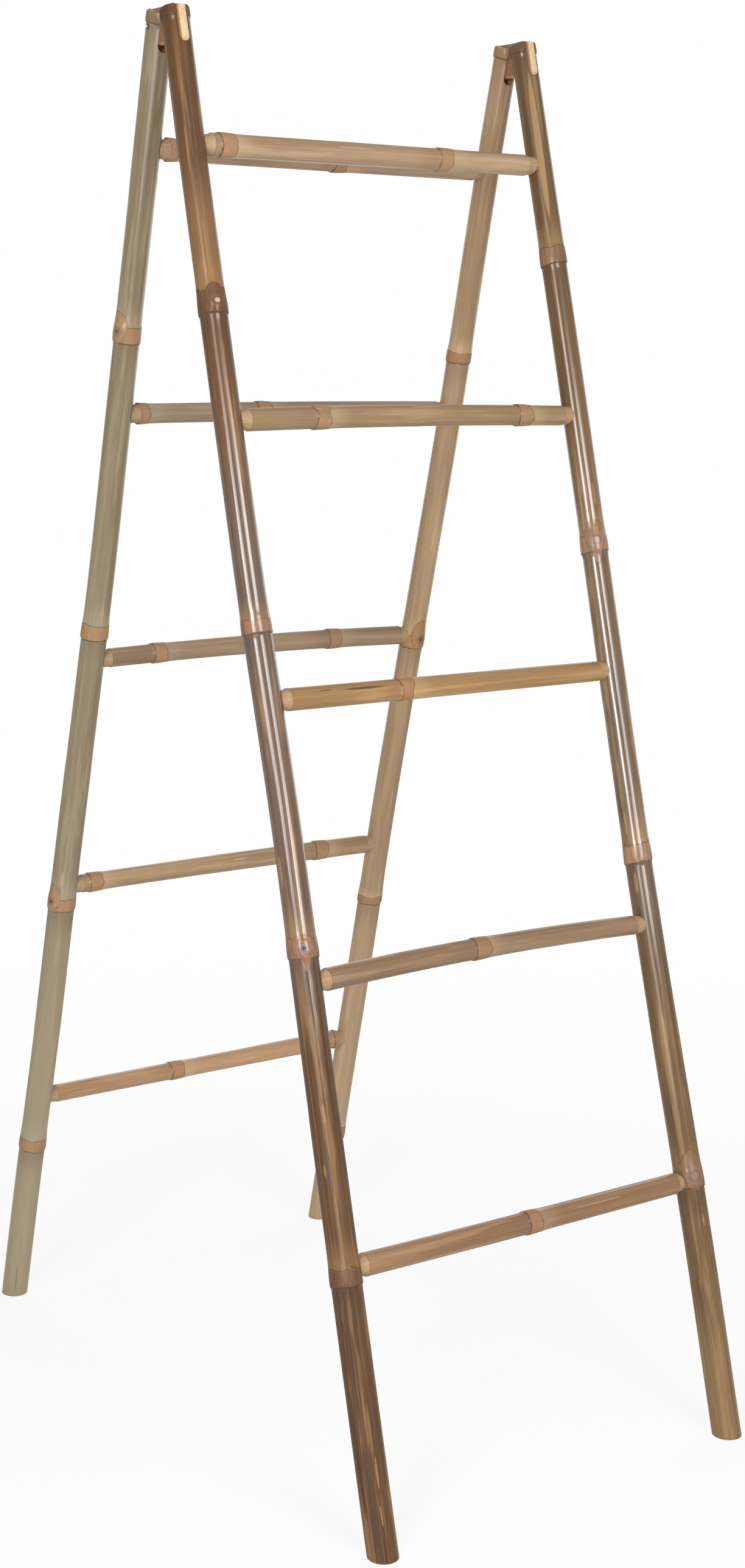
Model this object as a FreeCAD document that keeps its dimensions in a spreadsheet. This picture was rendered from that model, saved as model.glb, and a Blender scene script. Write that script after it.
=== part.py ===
import FreeCAD, Part
import math
import os

import Sketcher

# A folding double ladder of bamboo: two frames of two poles and five rungs, joined at the top corners
# by wooden tongues that lie in slots in the pole ends and turn on nails.
# X runs along the rungs, Y from the front frame to the rear one and Z up, with the floor at zero and
# the origin midway between the four feet. The ladder stands open.

# Driving dimensions, in millimetres and degrees
SIZES = {
    "pole_length": 1600,
    "pole_foot_diameter": 33.5,
    "pole_top_diameter": 29.5,
    "pole_wall": 7,
    "node_swell": 1,
    "node_band": 8.5,
    "top_node_drop": 7,
    "rim_inset": 1.5,
    "solid_head": 60,
    "hinge_width": 462,
    "lean_angle": 14.4,
    "splay_angle": 0.31,
    "top_rung_drop": 140,
    "rung_diameter": 24,
    "whittle_length": 2.3,
    "neck_length": 4.4,
    "tenon_diameter": 20.5,
    "tenon_tip_gap": 9.8,
    "tenon_fit": 0.05,
    "mortise_end_gap": 0.5,
    "tongue_thickness": 12.5,
    "tongue_above_pin": 14,
    "tongue_below_pin": 19,
    "tongue_inset": 0.5,
    "slot_side_gap": 0.6,
    "stop_gap": 0.4,
    "fold_gap": 0.4,
    "pin_diameter": 3,
    "pin_drop": 17,
    "pin_sink": 0.4,
    "pin_tip_cover": 3,
    "pin_end_gap": 0.5,
    "pin_grip_fit": 0.02,
    "pin_running_fit": 0.05,
}

# Where each culm has its nodes, as shares of the pole's length from the floor
POLE_NODE_SHARES = {
    "front_left": (0.176, 0.386, 0.594, 0.802),
    "front_right": (0.180, 0.412, 0.635, 0.843),
    "rear_left": (0.141, 0.352, 0.569, 0.786),
    "rear_right": (0.088, 0.316, 0.544, 0.773),
}

RUNG_COUNT = 5

# The frames are one construction, turned about the vertical, and each has a left and a right pole
FRAME_TURNS = {"front": 0, "rear": 180}
SIDES = {"left": -1, "right": 1}

FULL_TURN = 360
QUARTER_TURN = 90
ORIGIN = (-1, 1)
ACROSS_INDEX = -1
UPRIGHT_INDEX = -2
START_INDEX, END_INDEX, CENTRE_INDEX = 1, 2, 3

X_AXIS = FreeCAD.Vector(1, 0, 0)
Y_AXIS = FreeCAD.Vector(0, 1, 0)
Z_AXIS = FreeCAD.Vector(0, 0, 1)

doc = FreeCAD.newDocument("folding_ladder")
sheet = doc.addObject("Spreadsheet::Sheet", "sizes")
for row, (alias, amount) in enumerate(SIZES.items(), start=1):
    sheet.set(f"A{row}", alias)
    sheet.set(f"B{row}", str(amount))
    sheet.setAlias(f"B{row}", alias)
doc.recompute()


def value(formula):
    """Work a formula over the sheet's cells out to a plain number."""
    return float(sheet.evalExpression(formula))


# Formulas shared by pieces that meet

def culm_radius(along):
    """Outer radius of a pole between its nodes, at a distance along it from the floor."""
    taper = "(sizes.pole_top_diameter - sizes.pole_foot_diameter)"
    return f"((sizes.pole_foot_diameter + {taper} * ({along}) / sizes.pole_length) / 2)"


def rung_along(count):
    """Distance of a rung from the floor, along the pole."""
    return f"((sizes.pole_length - sizes.top_rung_drop) * {count} / {RUNG_COUNT})"


def half_span(along):
    """Half the distance between a frame's two pole axes, at a distance along them from the floor."""
    return f"(sizes.hinge_width / 2 + ({PIN_ALONG} - {along}) * sin(sizes.splay_angle))"


def setback(along):
    """Distance of a pole's axis from the ladder's middle plane, at a distance along the pole."""
    run = "cos(sizes.splay_angle) * sin(sizes.lean_angle)"
    return f"({PIN_SETBACK} + ({PIN_ALONG} - {along}) * {run})"


def height(along):
    """Height of a pole's axis over the floor, at a distance along the pole."""
    return f"({along} * cos(sizes.splay_angle) * cos(sizes.lean_angle))"


PIN_ALONG = "(sizes.pole_length - sizes.pin_drop)"
TOP_NODE_ALONG = "(sizes.pole_length - sizes.top_node_drop)"
CULM_BORE = "(sizes.pole_top_diameter / 2 - sizes.pole_wall)"
FOOT_STUB = "(sizes.pole_foot_diameter * tan(sizes.lean_angle))"
PIN_RADIUS = culm_radius(PIN_ALONG)
# The rows of pins stand far enough apart for the poles to hang side by side when folded, and for the top
# nodes to clear each other when the poles lean together.
FOLDED_REACH = "(sizes.pole_foot_diameter / 2 + sizes.node_swell)"
OPEN_REACH = (
    f"(({culm_radius(TOP_NODE_ALONG)} + sizes.node_swell) * cos(sizes.lean_angle)"
    " + (sizes.pin_drop - sizes.top_node_drop) * sin(sizes.lean_angle))"
)
PIN_SETBACK = f"(max({FOLDED_REACH}; {OPEN_REACH}) + sizes.fold_gap / 2)"
# The tongue's end is flush with the pole's outer face, and its lower corner tips down towards the slot's
# floor as the ladder opens. The ladder is open when only the stop gap is left there.
TONGUE_REACH = f"({PIN_RADIUS} / cos(sizes.lean_angle) - sizes.tongue_inset)"
TONGUE_CORNER = f"({TONGUE_REACH} + sizes.tongue_below_pin * tan(sizes.lean_angle))"
SLOT_BELOW_PIN = (
    "(sizes.tongue_below_pin * cos(sizes.lean_angle)"
    f" + {TONGUE_CORNER} * sin(sizes.lean_angle) + sizes.stop_gap)"
)
SLOT_WIDTH = "(sizes.tongue_thickness + 2 * sizes.slot_side_gap)"
PIN_TIP = f"({PIN_RADIUS} - sizes.pin_tip_cover)"


# Sketching helpers

def new_body(name):
    """Start a sub-part; its label names its file."""
    body = doc.addObject("PartDesign::Body", name)
    body.Label = name
    return body


def new_sketch(body, name, role):
    """Start a sketch on one of the body's own origin planes."""
    plane = next(item for item in body.Origin.OriginFeatures if item.Role == role)
    sketch = body.newObject("Sketcher::SketchObject", name)
    sketch.AttachmentSupport = [(plane, "")]
    sketch.MapMode = "FlatFace"
    return sketch


def hold_distance(sketch, geometry, end, kind, axis, formula):
    """Tie a sketch point's distance from the origin, one way, to a formula."""
    amount = value(formula)
    if amount == 0:
        sketch.addConstraint(Sketcher.Constraint("PointOnObject", geometry, end, axis))
        return
    ends = (*ORIGIN, geometry, end) if amount > 0 else (geometry, end, *ORIGIN)
    index = sketch.addConstraint(Sketcher.Constraint(kind, *ends, abs(amount)))
    sketch.setExpression(f"Constraints[{index}]", formula if amount > 0 else f"-({formula})")


def hold_across(sketch, geometry, end, formula):
    """Tie how far a sketch point stands to the side."""
    hold_distance(sketch, geometry, end, "DistanceX", UPRIGHT_INDEX, formula)


def hold_along(sketch, geometry, end, formula):
    """Tie how high a sketch point stands."""
    hold_distance(sketch, geometry, end, "DistanceY", ACROSS_INDEX, formula)


def hold_point(sketch, geometry, end, across, along):
    """Tie a sketch point to formulas for its place across and along the sketch."""
    hold_across(sketch, geometry, end, across)
    hold_along(sketch, geometry, end, along)


def hold_radius(sketch, geometry, formula):
    """Tie a circle's or an arc's radius to a formula."""
    index = sketch.addConstraint(Sketcher.Constraint("Radius", geometry, value(formula)))
    sketch.setExpression(f"Constraints[{index}]", formula)


def draw_outline(sketch, corners):
    """Draw a closed straight-sided outline through corners given as formulas."""
    points = [FreeCAD.Vector(value(across), value(along), 0) for across, along in corners]
    lines = [Part.LineSegment(a, b) for a, b in zip(points, points[1:] + points[:1])]
    indices = list(sketch.addGeometry(lines, False))
    for index, following in zip(indices, indices[1:] + indices[:1]):
        sketch.addConstraint(Sketcher.Constraint("Coincident", index, END_INDEX, following, START_INDEX))
    for index, (across, along) in zip(indices, corners):
        hold_point(sketch, index, START_INDEX, across, along)


def draw_circle(sketch, across, along, radius):
    """Draw a circle about a centre given as formulas."""
    centre = FreeCAD.Vector(value(across), value(along), 0)
    index = sketch.addGeometry(Part.Circle(centre, Z_AXIS, value(radius)), False)
    hold_radius(sketch, index, radius)
    hold_point(sketch, index, CENTRE_INDEX, across, along)


def draw_u_shape(sketch, half_width, floor, top):
    """Draw a round-bottomed U that is closed straight across at its top."""
    wide, low, high = value(half_width), value(floor), value(top)
    middle = FreeCAD.Vector(0, low + wide, 0)
    left_top = FreeCAD.Vector(-wide, high, 0)
    right_top = FreeCAD.Vector(wide, high, 0)
    bowl = Part.ArcOfCircle(Part.Circle(middle, Z_AXIS, wide), math.pi, 2 * math.pi)
    right = Part.LineSegment(FreeCAD.Vector(wide, middle.y, 0), right_top)
    across = Part.LineSegment(right_top, left_top)
    left = Part.LineSegment(left_top, FreeCAD.Vector(-wide, middle.y, 0))
    parts = list(sketch.addGeometry([bowl, right, across, left], False))
    for index, following in zip(parts, parts[1:] + parts[:1]):
        sketch.addConstraint(Sketcher.Constraint("Coincident", index, END_INDEX, following, START_INDEX))
    bowl, right, across, left = parts
    for end in (START_INDEX, END_INDEX):
        sketch.addConstraint(Sketcher.Constraint("Horizontal", bowl, end, bowl, CENTRE_INDEX))
    sketch.addConstraint(Sketcher.Constraint("Vertical", right))
    sketch.addConstraint(Sketcher.Constraint("Horizontal", across))
    sketch.addConstraint(Sketcher.Constraint("Vertical", left))
    hold_radius(sketch, bowl, half_width)
    hold_point(sketch, bowl, CENTRE_INDEX, "0", f"({floor} + {half_width})")
    hold_along(sketch, across, START_INDEX, top)


def spin(body, sketch):
    """Turn a sketch a full turn about its upright axis."""
    turned = body.newObject("PartDesign::Revolution", "turned")
    turned.Profile = sketch
    turned.ReferenceAxis = (sketch, ["V_Axis"])
    turned.Angle = FULL_TURN
    return turned


def cut_through(body, sketch, name):
    """Cut a sketch through the body, both ways from its plane."""
    cut = body.newObject("PartDesign::Pocket", name)
    cut.Profile = sketch
    cut.Type = "ThroughAll"
    cut.SideType = "Symmetric"


def cut_out_from(body, sketch, name, side):
    """Cut a sketch outwards to one side of its own plane, which is then the cut's flat floor."""
    cut = body.newObject("PartDesign::Pocket", name)
    cut.Profile = sketch
    cut.Type = "ThroughAll"
    cut.Reversed = side > 0


def turn_sketch(sketch, axis, side, along):
    """Turn a pole's sketch by the splay about an axis of its own, through a point along the pole."""
    angle = f"{side} * sizes.splay_angle"
    place = FreeCAD.Vector(0, value(along), 0)
    sketch.AttachmentOffset = FreeCAD.Placement(place, FreeCAD.Rotation(axis, value(angle)))
    sketch.setExpression("AttachmentOffset.Rotation.Angle", angle)
    sketch.setExpression("AttachmentOffset.Base.y", along)


def drill(body, name, inner_side, side, along, floor, radius):
    """Drill a pole level from one side, down to a flat floor that far from the pole's axis."""
    hole = new_sketch(body, f"{name}_shape", "YZ_Plane")
    rise = f"{side * inner_side} * {floor} * sin(sizes.splay_angle)"
    turn_sketch(hole, X_AXIS, -inner_side, f"({along} + {rise})")
    hole.setExpression("AttachmentOffset.Base.z", f"{side} * {floor} * cos(sizes.splay_angle)")
    draw_circle(hole, "0", "0", radius)
    cut_out_from(body, hole, name, side)


# Pieces

def culm_profile(node_shares):
    """Half section of a pole, hollow to the head: straight internodes that step down, and swollen nodes."""
    half_band = "sizes.node_band / 2"
    nodes = [f"(sizes.pole_length * {share})" for share in node_shares] + [TOP_NODE_ALONG]
    hollow_top = "(sizes.pole_length - sizes.solid_head)"
    outline = [("0", hollow_top), (CULM_BORE, hollow_top), (CULM_BORE, f"-{FOOT_STUB}")]
    below = "0"
    start = f"-{FOOT_STUB}"
    for node in nodes:
        radius = culm_radius(f"({below} + {node}) / 2")
        outline += [
            (radius, start),
            (radius, f"({node} - {half_band})"),
            (f"({culm_radius(node)} + sizes.node_swell)", node),
        ]
        below = node
        start = f"({node} + {half_band})"
    rim = f"({culm_radius('sizes.pole_length')} - sizes.rim_inset)"
    return outline + [(rim, "sizes.pole_length"), ("0", "sizes.pole_length")]


def make_pole(name, node_shares, inner_side):
    """A culm with a flat-cut foot, rung holes on its inner side and the hinge slot in its top."""
    body = new_body(name)
    profile = new_sketch(body, "culm_profile", "XZ_Plane")
    draw_outline(profile, culm_profile(node_shares))
    spin(body, profile)

    # The pole leans and splays, so the floor cuts it on a slant
    foot = new_sketch(body, "foot_line", "YZ_Plane")
    turn_sketch(foot, X_AXIS, -inner_side, "0")
    reach = "sizes.pole_foot_diameter"
    draw_outline(foot, [
        (reach, FOOT_STUB),
        (f"-{reach}", f"-{FOOT_STUB}"),
        (f"-{reach}", f"-2 * {FOOT_STUB}"),
        (reach, f"-2 * {FOOT_STUB}"),
    ])
    cut_through(body, foot, "foot_cut")

    mortise_floor = "(sizes.tenon_tip_gap - sizes.mortise_end_gap)"
    mortise_radius = "(sizes.tenon_diameter / 2 + sizes.tenon_fit)"
    for count in range(1, RUNG_COUNT + 1):
        along = rung_along(count)
        drill(body, f"mortise_{count}", inner_side, inner_side, along, mortise_floor, mortise_radius)

    # The slot stands upright and is measured from the pin
    slot = new_sketch(body, "slot_shape", "XZ_Plane")
    turn_sketch(slot, Z_AXIS, inner_side, PIN_ALONG)
    draw_u_shape(slot, f"({SLOT_WIDTH} / 2)", f"(-{SLOT_BELOW_PIN})", "(sizes.pin_drop + sizes.node_band)")
    cut_through(body, slot, "hinge_slot")

    # The nail is driven in from the outer side and ends inside the inner cheek
    bore_floor = f"(-{PIN_TIP} - sizes.pin_end_gap)"
    bore_radius = "(sizes.pin_diameter / 2 + sizes.pin_grip_fit)"
    drill(body, "pin_bore", inner_side, -inner_side, PIN_ALONG, bore_floor, bore_radius)
    return body


def make_rung(name, along_pole):
    """A cane with both ends whittled down to necks that run into the poles as tenons."""
    radius = "(sizes.rung_diameter / 2)"
    tenon = "(sizes.tenon_diameter / 2)"
    length = f"(2 * {half_span(along_pole)} - 2 * sizes.tenon_tip_gap)"
    shoulder = f"({culm_radius(along_pole)} + sizes.neck_length - sizes.tenon_tip_gap)"
    bark_edge = f"({shoulder} + sizes.whittle_length)"
    body = new_body(name)
    profile = new_sketch(body, "cane_profile", "XZ_Plane")
    draw_outline(profile, [
        ("0", "0"),
        (tenon, "0"),
        (tenon, shoulder),
        (radius, bark_edge),
        (radius, f"({length} - {bark_edge})"),
        (tenon, f"({length} - {shoulder})"),
        (tenon, length),
        ("0", length),
    ])
    spin(body, profile)
    return body


def make_tongue(name):
    """The hinge tongue: a round-bottomed batten, its ends cut to the slant of the poles' outer faces."""
    body = new_body(name)
    section = new_sketch(body, "batten_section", "XZ_Plane")
    half_width = "(sizes.tongue_thickness / 2)"
    draw_u_shape(section, half_width, "(-sizes.tongue_below_pin)", "sizes.tongue_above_pin")
    batten = body.newObject("PartDesign::Pad", "batten")
    batten.Profile = section
    batten.SideType = "Symmetric"
    reach = f"({PIN_SETBACK} + sizes.pole_top_diameter)"
    batten.setExpression("Length", f"2 * {reach}")

    ends = new_sketch(body, "end_slants", "YZ_Plane")
    face = f"({PIN_SETBACK} + {TONGUE_REACH})"
    tall = "(sizes.tongue_above_pin + sizes.tongue_below_pin)"
    slant = f"({tall} * tan(sizes.lean_angle))"
    for way in SIDES.values():
        draw_outline(ends, [
            (f"{way} * ({face} - {slant})", tall),
            (f"{way} * ({face} + {slant})", f"-{tall}"),
            (f"{way} * 2 * {reach}", f"-{tall}"),
            (f"{way} * 2 * {reach}", tall),
        ])
    cut_through(body, ends, "end_cuts")

    bores = new_sketch(body, "pin_holes", "YZ_Plane")
    for way in SIDES.values():
        draw_circle(bores, f"{way} * {PIN_SETBACK}", "0", "(sizes.pin_diameter / 2 + sizes.pin_running_fit)")
    cut_through(body, bores, "pin_bores")
    return body


def make_pin(name):
    """The shank of a nail, its outer end at the start."""
    body = new_body(name)
    profile = new_sketch(body, "nail_profile", "XZ_Plane")
    radius = "(sizes.pin_diameter / 2)"
    length = f"({PIN_RADIUS} - sizes.pin_sink + {PIN_TIP})"
    draw_outline(profile, [("0", "0"), (radius, "0"), (radius, length), ("0", length)])
    spin(body, profile)
    return body


# Places

lean = value("sizes.lean_angle")
splay = value("sizes.splay_angle")


def axis_place(way, front_or_rear, along):
    """Where a pole's axis is, at a distance along it."""
    across = way * value(half_span(along))
    return FreeCAD.Vector(across, front_or_rear * value(setback(along)), value(height(along)))


pieces = []
for frame, turn in FRAME_TURNS.items():
    # A rear pole is a front pole turned about the vertical, so its own left and right change over.
    facing = FreeCAD.Rotation(Z_AXIS, turn)
    front_or_rear = -math.cos(math.radians(turn))
    for side, way in SIDES.items():
        inner_side = way * front_or_rear
        tilt = FreeCAD.Rotation(X_AXIS, -lean) * FreeCAD.Rotation(Y_AXIS, inner_side * splay)
        pole = make_pole(f"{frame}_{side}_pole", POLE_NODE_SHARES[f"{frame}_{side}"], inner_side)
        pole.Placement = FreeCAD.Placement(axis_place(way, front_or_rear, "0"), facing * tilt)
        pieces.append(pole)

        pin = make_pin(f"{frame}_{side}_pin")
        outer_end = X_AXIS * way * value(f"{PIN_RADIUS} - sizes.pin_sink")
        place = axis_place(way, front_or_rear, PIN_ALONG) + outer_end
        pin.Placement = FreeCAD.Placement(place, FreeCAD.Rotation(Y_AXIS, -way * QUARTER_TURN))
        pieces.append(pin)

    for count in range(1, RUNG_COUNT + 1):
        along = rung_along(count)
        rung = make_rung(f"{frame}_rung_{count}", along)
        place = axis_place(SIDES["left"], front_or_rear, along) + X_AXIS * value("sizes.tenon_tip_gap")
        rung.Placement = FreeCAD.Placement(place, FreeCAD.Rotation(Y_AXIS, QUARTER_TURN))
        pieces.append(rung)

for side, way in SIDES.items():
    tongue = make_tongue(f"{side}_tongue")
    place = FreeCAD.Vector(way * value(half_span(PIN_ALONG)), 0, value(height(PIN_ALONG)))
    tongue.Placement = FreeCAD.Placement(place, FreeCAD.Rotation())
    pieces.append(tongue)

doc.recompute()

for item in doc.Objects:
    if "Invalid" in item.State or "Error" in item.State:
        raise RuntimeError(f"{item.Name} did not build: {item.State}")
for piece in pieces:
    if piece.Shape.isNull() or not piece.Shape.isValid() or len(piece.Shape.Solids) != 1:
        raise RuntimeError(f"{piece.Label} is not one sound solid")

os.makedirs("parts", exist_ok=True)
for piece in pieces:
    piece.Shape.exportStep(f"parts/{piece.Label}.step")
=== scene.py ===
import math
from collections import namedtuple

import bmesh
import bpy
from mathutils import Matrix, Vector


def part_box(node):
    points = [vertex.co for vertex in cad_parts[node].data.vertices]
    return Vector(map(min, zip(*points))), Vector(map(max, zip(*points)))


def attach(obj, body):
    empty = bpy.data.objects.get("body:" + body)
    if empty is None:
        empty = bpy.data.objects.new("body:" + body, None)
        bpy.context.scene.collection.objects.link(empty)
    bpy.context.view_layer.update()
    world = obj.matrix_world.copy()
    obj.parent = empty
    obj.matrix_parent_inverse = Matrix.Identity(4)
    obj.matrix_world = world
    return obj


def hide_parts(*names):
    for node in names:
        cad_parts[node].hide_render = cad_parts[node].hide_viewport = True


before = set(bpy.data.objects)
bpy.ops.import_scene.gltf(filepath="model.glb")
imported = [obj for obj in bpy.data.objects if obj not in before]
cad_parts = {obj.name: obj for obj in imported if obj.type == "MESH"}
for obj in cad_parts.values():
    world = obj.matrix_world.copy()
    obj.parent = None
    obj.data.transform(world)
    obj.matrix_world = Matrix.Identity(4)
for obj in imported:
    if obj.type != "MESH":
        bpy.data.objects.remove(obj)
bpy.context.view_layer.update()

MM = 0.001

# Sizes of the ladder, in metres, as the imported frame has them. Only the tongue differs: it is slimmer on
# its right side and taller, as the photograph shows it.
POLE_LENGTH = 1600 * MM
HINGE_HALF_WIDTH = 231 * MM
LEAN = math.radians(14.4)
SPLAY = math.radians(0.31)
PIN_ALONG = 1583 * MM
PIN_SETBACK = 17.951 * MM
RUNG_STEP = 292 * MM
RUNG_TIP_GAP = 9.8 * MM
SLOT_HALF_WIDTH = 6.85 * MM
SLOT_BELOW_PIN = 23.7 * MM
TONGUE_LEFT = 6.25 * MM
TONGUE_RIGHT = 4.6 * MM
TONGUE_ABOVE_PIN = 18.6 * MM
TONGUE_BELOW_PIN = 19 * MM
TONGUE_REACH = 14.7 * MM
NAIL_RADIUS = 1.5 * MM
NECK_RADIUS = 10.25 * MM
NECK_LEFT = 23.5 * MM
NECK_RIGHT = 22.9 * MM
PIN_HEIGHT = PIN_ALONG * math.cos(SPLAY) * math.cos(LEAN)

LEFT, RIGHT = -1, 1
FRONT, REAR = -1, 1
SIDE_NAMES = {LEFT: "left", RIGHT: "right"}
FRAME_NAMES = {FRONT: "front", REAR: "rear"}
# Plan direction from the ladder to the photograph's viewpoint; buds are placed as turns away from it
VIEW_TURN = math.radians(-125.4)

POLE_SIDES = 64
RUNG_SIDES = 48
NAIL_SIDES = 28
RING_STEP = 24 * MM
RING_LEAST = 0.3 * MM
SAME_POINT = 1e-6
ON_PLANE = 1e-7
OVAL_SHARE = 0.012
# Steps of a quarter to either side, which ease a crook over some mm and space the rings at a mark
QUARTERS = range(-4, 5)
CROOK_EASE = 60

# How far the place of a node reaches, and that of a mark in its half lengths; a bud's eye above its node;
# and a place that is off all of them
NEAR_NODE = 60 * MM
MARK_REACH = 1.2
EYE_UP = 6 * MM
FAR = 1.0

# A node: mm along the cane, tilt of its ring, how dark its band is, the band's height in mm, and its bud.
# A bud: degrees round from the view, size, paleness of its eye, how much of a tail and of a grey dome it
# has, and how tall it stands.
# A mark: mm along the cane, degrees round from the view, half length and half width in mm, and how dark it
# is, from a pale scar at 0 to a black split at 1.
Node = namedtuple("Node", "along tilt dark band bud", defaults=(0.0, 0.15, 17, None))
Bud = namedtuple("Bud", "turn size pale tail grey tall", defaults=(1.0,))
Mark = namedtuple("Mark", "along turn length width dark")

# How a node swells: distance above its ridge in mm, share of the full swell
NODE_SWELL = 1.15 * MM
BAND_FOOT = 6.6 * MM
BAND_TOP = 13.8 * MM
SWELL_CURVE = (
    (-34, 0), (-14, 0), (-7.6, 0.06), (-6.9, 0.3), (-6.3, 0.82), (-5, 0.98), (-1, 1.0), (4, 0.88),
    (9, 0.64), (13.2, 0.46), (14.0, 0.32), (22, 0.12), (34, 0),
)

# Poles: radius in mm at foot and top, nodes, marks, and crook as (mm up the pole, mm towards +X)
POLES = {
    (FRONT, LEFT): {
        "radii": (16.5, 14.7),
        "nodes": (
            Node(282, 0.02, 0.8, 19),
            Node(617, -0.04, 0.15, 20, Bud(10, 1.1, 0.0, 1.0, 1.0, 0.62)),
            Node(951, 0.03, 0.05, 15),
            Node(1283, 0.0, 1.0, 27, Bud(22, 1.0, 0.9, 0.0, 0.3, 0.9)),
            Node(1594, 0.0, 1.1, 11),
        ),
        "marks": (
            Mark(44, 18, 12, 1.1, 0.0), Mark(88, 22, 20, 1.4, 0.0), Mark(150, 34, 26, 0.8, 0.8),
            Mark(214, 24, 26, 0.9, 0.7), Mark(395, -22, 7, 2.0, 0.3), Mark(452, 2, 12, 1.8, 0.0),
            Mark(700, -46, 18, 2.4, 0.1), Mark(1345, 10, 36, 1.0, 0.0), Mark(1446, -16, 30, 0.9, 0.0),
        ),
        "crook": (
            (0, 0.6), (143, 0.7), (405, 1.0), (650, 2.1), (745, 2.5), (858, 0.7), (972, -2.3),
            (1259, -2.5), (1509, -1.6), (1600, 0),
        ),
    },
    (FRONT, RIGHT): {
        "radii": (16.5, 14.1),
        "nodes": (
            Node(288, 0.0, 0.6, 20, Bud(18, 1.3, 0.4, 0.2, 0.9)),
            Node(660, 0.09, 0.05, 22),
            Node(1016, 0.02, 0.1, 20, Bud(6, 1.1, 0.45, 0.8, 1.0)),
            Node(1349, 0.08, 0.45, 19),
            Node(1594, 0.0, 1.1, 11),
        ),
        "marks": (
            Mark(245, 30, 8, 1.4, 0.0), Mark(632, -30, 14, 2.4, 0.0), Mark(700, -38, 16, 2.0, 0.0),
            Mark(1075, 30, 16, 2.2, 0.3), Mark(1478, 4, 96, 4.4, 0.0), Mark(120, 44, 80, 1.6, 0.6),
        ),
        "crook": (
            (0, -0.4), (62, -0.2), (188, 0.2), (313, -1.2), (439, -4.0), (629, -6.6), (819, -5.2),
            (925, -3.9), (1201, -1.8), (1543, -0.6), (1600, 0),
        ),
    },
    (REAR, LEFT): {
        "radii": (16.5, 14.4),
        "nodes": (
            Node(226, 0.0, 0.0, 17),
            Node(563, 0.02, 0.05, 18, Bud(-42, 1.0, 0.1, 0.0, 0.0)),
            Node(911, 0.03, 0.05, 18),
            Node(1257, 0.0, 0.0, 18, Bud(-38, 1.0, 0.15, 0.0, 0.0)),
            Node(1594, 0.0, 1.1, 11),
        ),
        "marks": (
            Mark(80, 10, 14, 1.4, 0.25), Mark(32, 6, 20, 0.9, 0.6), Mark(600, -6, 12, 2.4, 0.0),
        ),
        "crook": (
            (0, 0.6), (120, 0.8), (202, 1.5), (388, 4.4), (540, 4.0), (710, 5.0), (850, 6.1), (1007, 6.9),
            (1136, 5.2), (1361, 3.2), (1515, 1.4), (1600, 0),
        ),
    },
    (REAR, RIGHT): {
        "radii": (16.1, 13.9),
        "nodes": (
            Node(141),
            Node(506, 0.05, 0.4, 11),
            Node(870, 0.0, 0.1, 17, Bud(40, 1.1, 0.1, 0.0, 0.4)),
            Node(1237, 0.04, 0.5, 14),
            Node(1594, 0.0, 1.1, 11),
        ),
        "marks": (
            Mark(645, -4, 9, 2.2, 0.4), Mark(1010, 20, 20, 1.4, 0.1), Mark(300, 12, 30, 1.2, 0.2),
        ),
        "crook": (
            (0, 0), (301, -1.0), (442, -1.2), (605, -3.4), (762, -2.4), (913, -0.9), (1129, 1.9),
            (1221, 1.6), (1442, -0.9), (1600, 0),
        ),
    },
}

# Rungs: thickness in mm at the left and right, nodes and marks from the left pole, and rise in mm at the
# left end, middle and right end
RUNGS = {
    (FRONT, 5): {
        "thick": (25.0, 23.5), "rise": (-3.0, -2.2, -2.0),
        "nodes": (Node(38, 0.05), Node(322, -0.04)), "marks": (Mark(200, 10, 26, 1.2, 0.2),),
    },
    (FRONT, 4): {
        "thick": (24.0, 22.9), "rise": (-1.0, 2.2, 0.2),
        "nodes": (Node(111), Node(384, 0.06)), "marks": (Mark(250, -20, 22, 1.0, 0.1),),
    },
    (FRONT, 3): {
        "thick": (24.5, 22.9), "rise": (-0.8, -1.2, -1.4),
        "nodes": (Node(169, 0.03, 0.4),),
        "marks": (Mark(114, 0, 28, 1.6, 1.0), Mark(66, -6, 9, 0.9, 0.9)),
    },
    (FRONT, 2): {
        "thick": (24.4, 21.8), "rise": (-0.3, 5.2, -0.6),
        "nodes": (Node(219, -0.03, 0.3),),
        "marks": (Mark(132, 0, 7, 2.2, 0.5), Mark(158, 12, 9, 1.0, 0.4)),
    },
    (FRONT, 1): {
        "thick": (25.0, 24.0), "rise": (-0.6, -2.8, -2.8),
        "nodes": (Node(241, 0.04, 0.3),),
        "marks": (Mark(330, 0, 40, 0.8, 0.05), Mark(120, 26, 34, 1.4, 0.6)),
    },
    (REAR, 5): {
        "thick": (23.5, 23.0), "rise": (-0.8, -1.5, -1.5),
        "nodes": (Node(22), Node(243, 0.03)), "marks": (Mark(120, 0, 24, 1.0, 0.3),),
    },
    (REAR, 4): {
        "thick": (22.2, 22.8), "rise": (0.8, 2.4, 1.4),
        "nodes": (Node(23), Node(186, -0.04)), "marks": (Mark(300, 0, 20, 1.2, 0.2),),
    },
    (REAR, 3): {
        "thick": (22.0, 23.7), "rise": (0.5, 4.4, 1.2),
        "nodes": (Node(86, 0.04), Node(335, 0.0, 0.3)), "marks": (Mark(210, 10, 26, 1.0, 0.4),),
    },
    (REAR, 2): {
        "thick": (22.4, 23.3), "rise": (0.8, 2.2, 0.8),
        "nodes": (Node(38), Node(368, -0.05, 0.35)), "marks": (Mark(246, 10, 12, 1.0, 0.0),),
    },
    (REAR, 1): {
        "thick": (22.2, 23.3), "rise": (0.2, -0.5, -0.6),
        "nodes": (Node(195, 0.03), Node(450)), "marks": (Mark(110, 0, 24, 1.2, 0.3),),
    },
}

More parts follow.
